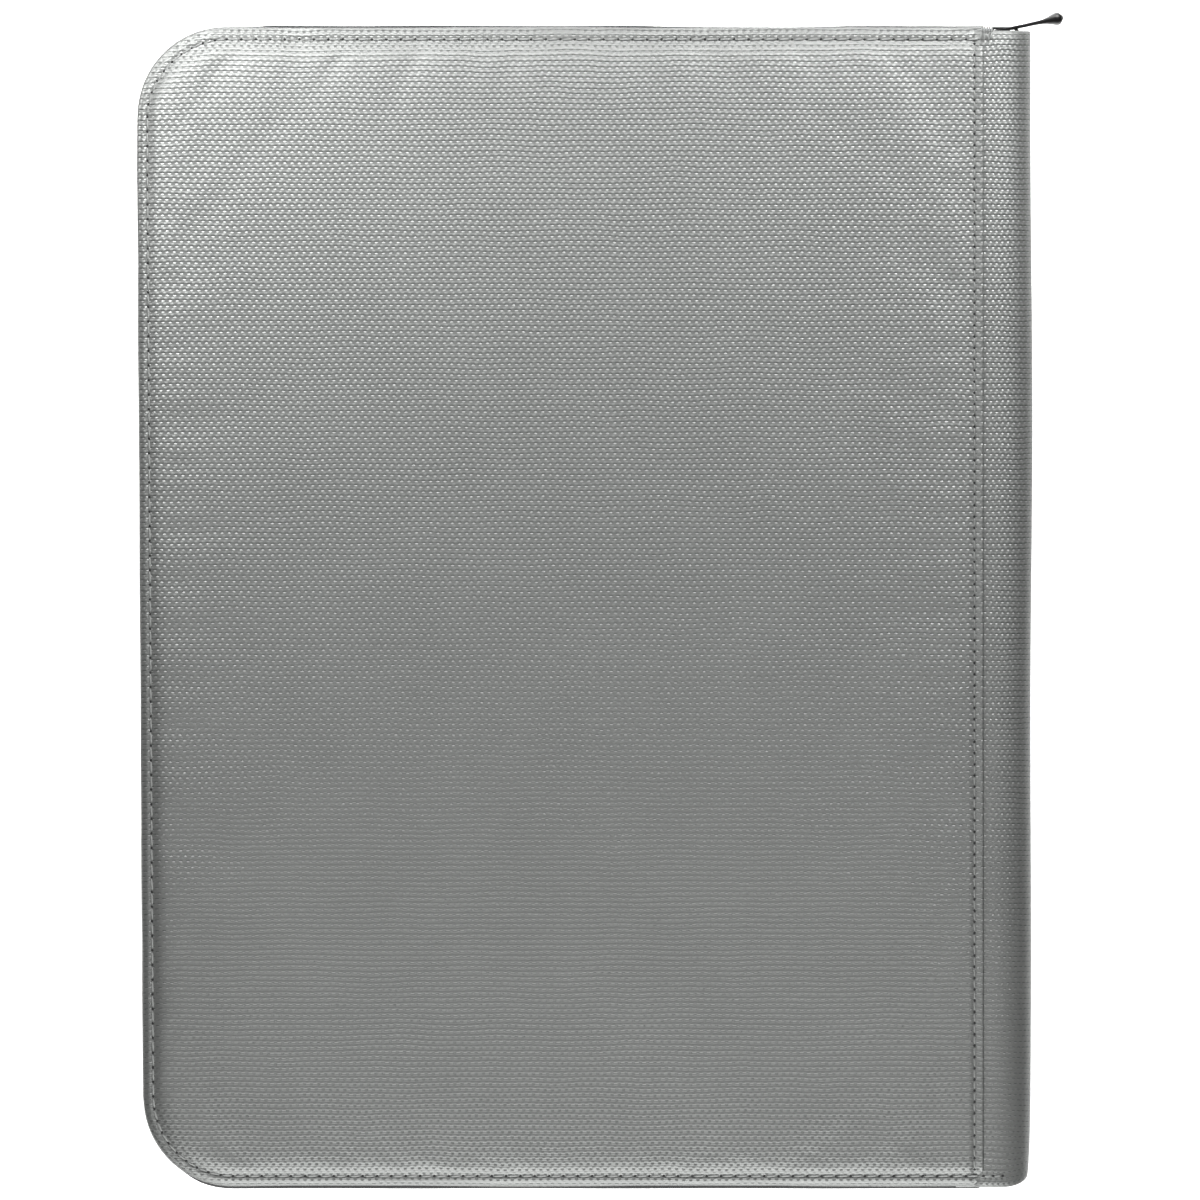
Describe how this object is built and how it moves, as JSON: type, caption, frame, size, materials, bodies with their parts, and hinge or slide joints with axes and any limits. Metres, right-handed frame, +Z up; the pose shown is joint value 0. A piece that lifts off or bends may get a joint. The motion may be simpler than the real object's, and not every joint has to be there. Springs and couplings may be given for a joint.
{
  "type": "trading card binder",
  "caption": "Slim zip-round card album: padded woven covers, hinged spine, side-loading pocket leaves on a binding bar, and a zip slider with a pull.",
  "frame": {"origin": "centre of the front cover's outer face, which the closed binder lies on", "axes": "+Z up through the back cover, +X towards the spine, +Y towards the head of the binder"},
  "size_m": [0.2798, 0.3543, 0.044],
  "materials": {
    "silver_cloth": "satin",
    "foam": "matt",
    "board": "matt",
    "lining": "matt",
    "grey_thread": "satin",
    "zip_tape": "matt",
    "coil_plastic": "gloss",
    "bare_steel": "satin",
    "bar_plastic": "satin",
    "black_enamel": "gloss",
    "leaf_film": "gloss"
  },
  "bodies": {
    "front_cover": {"front_cover_cloth": "silver_cloth", "front_cover_foam": "foam", "front_cover_board": "board", "front_cover_lining": "lining", "front_edge_stitching": "grey_thread", "front_seam_stitching": "grey_thread", "front_hinge_cloth": "silver_cloth", "front_zip_tape": "zip_tape", "front_zip_coil": "coil_plastic", "front_zip_stops": "bare_steel"},
    "spine": {"spine_cloth": "silver_cloth", "spine_board": "board", "spine_lining": "lining", "page_binding_bar": "bar_plastic", "binding_rivets": "bare_steel"},
    "back_cover": {"back_cover_cloth": "silver_cloth", "back_cover_foam": "foam", "back_cover_board": "board", "back_cover_lining": "lining", "back_edge_stitching": "grey_thread", "back_seam_stitching": "grey_thread", "back_hinge_cloth": "silver_cloth", "back_zip_tape": "zip_tape", "back_zip_coil": "coil_plastic", "back_zip_stops": "bare_steel"},
    "zip_slider": {"zip_slider": "black_enamel"},
    "zip_pull": {"zip_pull": "black_enamel"},
    "page_01": {"page_01": "leaf_film"},
    "page_02": {"page_02": "leaf_film"},
    "page_03": {"page_03": "leaf_film"},
    "page_04": {"page_04": "leaf_film"},
    "page_05": {"page_05": "leaf_film"},
    "page_06": {"page_06": "leaf_film"},
    "page_07": {"page_07": "leaf_film"},
    "page_08": {"page_08": "leaf_film"},
    "page_09": {"page_09": "leaf_film"},
    "page_10": {"page_10": "leaf_film"},
    "page_11": {"page_11": "leaf_film"},
    "page_12": {"page_12": "leaf_film"},
    "page_13": {"page_13": "leaf_film"},
    "page_14": {"page_14": "leaf_film"},
    "page_15": {"page_15": "leaf_film"},
    "page_16": {"page_16": "leaf_film"},
    "page_17": {"page_17": "leaf_film"},
    "page_18": {"page_18": "leaf_film"},
    "page_19": {"page_19": "leaf_film"},
    "page_20": {"page_20": "leaf_film"}
  },
  "joints": [
    {"name": "spine_fold", "type": "hinge", "parent": "front_cover", "child": "spine", "pos_m": [0.1335, 0, 0.0015], "axis": [0, 1, 0], "range_deg": [0, 90]},
    {"name": "back_cover_open", "type": "hinge", "parent": "spine", "child": "back_cover", "pos_m": [0.1335, 0, 0.0425], "axis": [0, 1, 0], "range_deg": [0, 90]},
    {"name": "slider_slide", "type": "slide", "parent": "front_cover", "child": "zip_slider", "axis": [-1, 0, 0], "range_m": [0, 0.228]},
    {"name": "pull_hinge", "type": "hinge", "parent": "zip_slider", "child": "zip_pull", "pos_m": [0.12465, 0.17405, 0.022], "axis": [0, 0, 1], "range_deg": [-5, 165]},
    {"name": "page_01_turn", "type": "hinge", "parent": "spine", "child": "page_01", "pos_m": [0.1279, 0, 0.00822], "axis": [0, 1, 0], "range_deg": [-75, 0]},
    {"name": "page_02_turn", "type": "hinge", "parent": "spine", "child": "page_02", "pos_m": [0.1279, 0, 0.00967], "axis": [0, 1, 0], "range_deg": [-67.5, 0]},
    {"name": "page_03_turn", "type": "hinge", "parent": "spine", "child": "page_03", "pos_m": [0.1279, 0, 0.01112], "axis": [0, 1, 0], "range_deg": [-60, 0]},
    {"name": "page_04_turn", "type": "hinge", "parent": "spine", "child": "page_04", "pos_m": [0.1279, 0, 0.01257], "axis": [0, 1, 0], "range_deg": [-52.5, 0]},
    {"name": "page_05_turn", "type": "hinge", "parent": "spine", "child": "page_05", "pos_m": [0.1279, 0, 0.01402], "axis": [0, 1, 0], "range_deg": [-45, 0]},
    {"name": "page_06_turn", "type": "hinge", "parent": "spine", "child": "page_06", "pos_m": [0.1279, 0, 0.01547], "axis": [0, 1, 0], "range_deg": [-37.5, 0]},
    {"name": "page_07_turn", "type": "hinge", "parent": "spine", "child": "page_07", "pos_m": [0.1279, 0, 0.01692], "axis": [0, 1, 0], "range_deg": [-30, 0]},
    {"name": "page_08_turn", "type": "hinge", "parent": "spine", "child": "page_08", "pos_m": [0.1279, 0, 0.01837], "axis": [0, 1, 0], "range_deg": [-22.5, 0]},
    {"name": "page_09_turn", "type": "hinge", "parent": "spine", "child": "page_09", "pos_m": [0.1279, 0, 0.01982], "axis": [0, 1, 0], "range_deg": [-15, 0]},
    {"name": "page_10_turn", "type": "hinge", "parent": "spine", "child": "page_10", "pos_m": [0.1279, 0, 0.02127], "axis": [0, 1, 0], "range_deg": [-7.5, 0]},
    {"name": "page_11_turn", "type": "hinge", "parent": "spine", "child": "page_11", "pos_m": [0.1279, 0, 0.02272], "axis": [0, 1, 0], "range_deg": [0, 7.5]},
    {"name": "page_12_turn", "type": "hinge", "parent": "spine", "child": "page_12", "pos_m": [0.1279, 0, 0.02417], "axis": [0, 1, 0], "range_deg": [0, 15]},
    {"name": "page_13_turn", "type": "hinge", "parent": "spine", "child": "page_13", "pos_m": [0.1279, 0, 0.02562], "axis": [0, 1, 0], "range_deg": [0, 22.5]},
    {"name": "page_14_turn", "type": "hinge", "parent": "spine", "child": "page_14", "pos_m": [0.1279, 0, 0.02707], "axis": [0, 1, 0], "range_deg": [0, 30]},
    {"name": "page_15_turn", "type": "hinge", "parent": "spine", "child": "page_15", "pos_m": [0.1279, 0, 0.02852], "axis": [0, 1, 0], "range_deg": [0, 37.5]},
    {"name": "page_16_turn", "type": "hinge", "parent": "spine", "child": "page_16", "pos_m": [0.1279, 0, 0.02998], "axis": [0, 1, 0], "range_deg": [0, 45]},
    {"name": "page_17_turn", "type": "hinge", "parent": "spine", "child": "page_17", "pos_m": [0.1279, 0, 0.03143], "axis": [0, 1, 0], "range_deg": [0, 52.5]},
    {"name": "page_18_turn", "type": "hinge", "parent": "spine", "child": "page_18", "pos_m": [0.1279, 0, 0.03288], "axis": [0, 1, 0], "range_deg": [0, 60]},
    {"name": "page_19_turn", "type": "hinge", "parent": "spine", "child": "page_19", "pos_m": [0.1279, 0, 0.03433], "axis": [0, 1, 0], "range_deg": [0, 67.5]},
    {"name": "page_20_turn", "type": "hinge", "parent": "spine", "child": "page_20", "pos_m": [0.1279, 0, 0.03578], "axis": [0, 1, 0], "range_deg": [0, 75]}
  ],
  "couplings": [
    {"joint": "page_01_turn", "follows": "spine_fold", "ratio": -0.83333},
    {"joint": "page_02_turn", "follows": "spine_fold", "ratio": -0.75},
    {"joint": "page_03_turn", "follows": "spine_fold", "ratio": -0.66667},
    {"joint": "page_04_turn", "follows": "spine_fold", "ratio": -0.58333},
    {"joint": "page_05_turn", "follows": "spine_fold", "ratio": -0.5},
    {"joint": "page_06_turn", "follows": "spine_fold", "ratio": -0.41667},
    {"joint": "page_07_turn", "follows": "spine_fold", "ratio": -0.33333},
    {"joint": "page_08_turn", "follows": "spine_fold", "ratio": -0.25},
    {"joint": "page_09_turn", "follows": "spine_fold", "ratio": -0.16667},
    {"joint": "page_10_turn", "follows": "spine_fold", "ratio": -0.083333},
    {"joint": "page_11_turn", "follows": "back_cover_open", "ratio": 0.083333},
    {"joint": "page_12_turn", "follows": "back_cover_open", "ratio": 0.16667},
    {"joint": "page_13_turn", "follows": "back_cover_open", "ratio": 0.25},
    {"joint": "page_14_turn", "follows": "back_cover_open", "ratio": 0.33333},
    {"joint": "page_15_turn", "follows": "back_cover_open", "ratio": 0.41667},
    {"joint": "page_16_turn", "follows": "back_cover_open", "ratio": 0.5},
    {"joint": "page_17_turn", "follows": "back_cover_open", "ratio": 0.58333},
    {"joint": "page_18_turn", "follows": "back_cover_open", "ratio": 0.66667},
    {"joint": "page_19_turn", "follows": "back_cover_open", "ratio": 0.75},
    {"joint": "page_20_turn", "follows": "back_cover_open", "ratio": 0.83333}
  ]
}
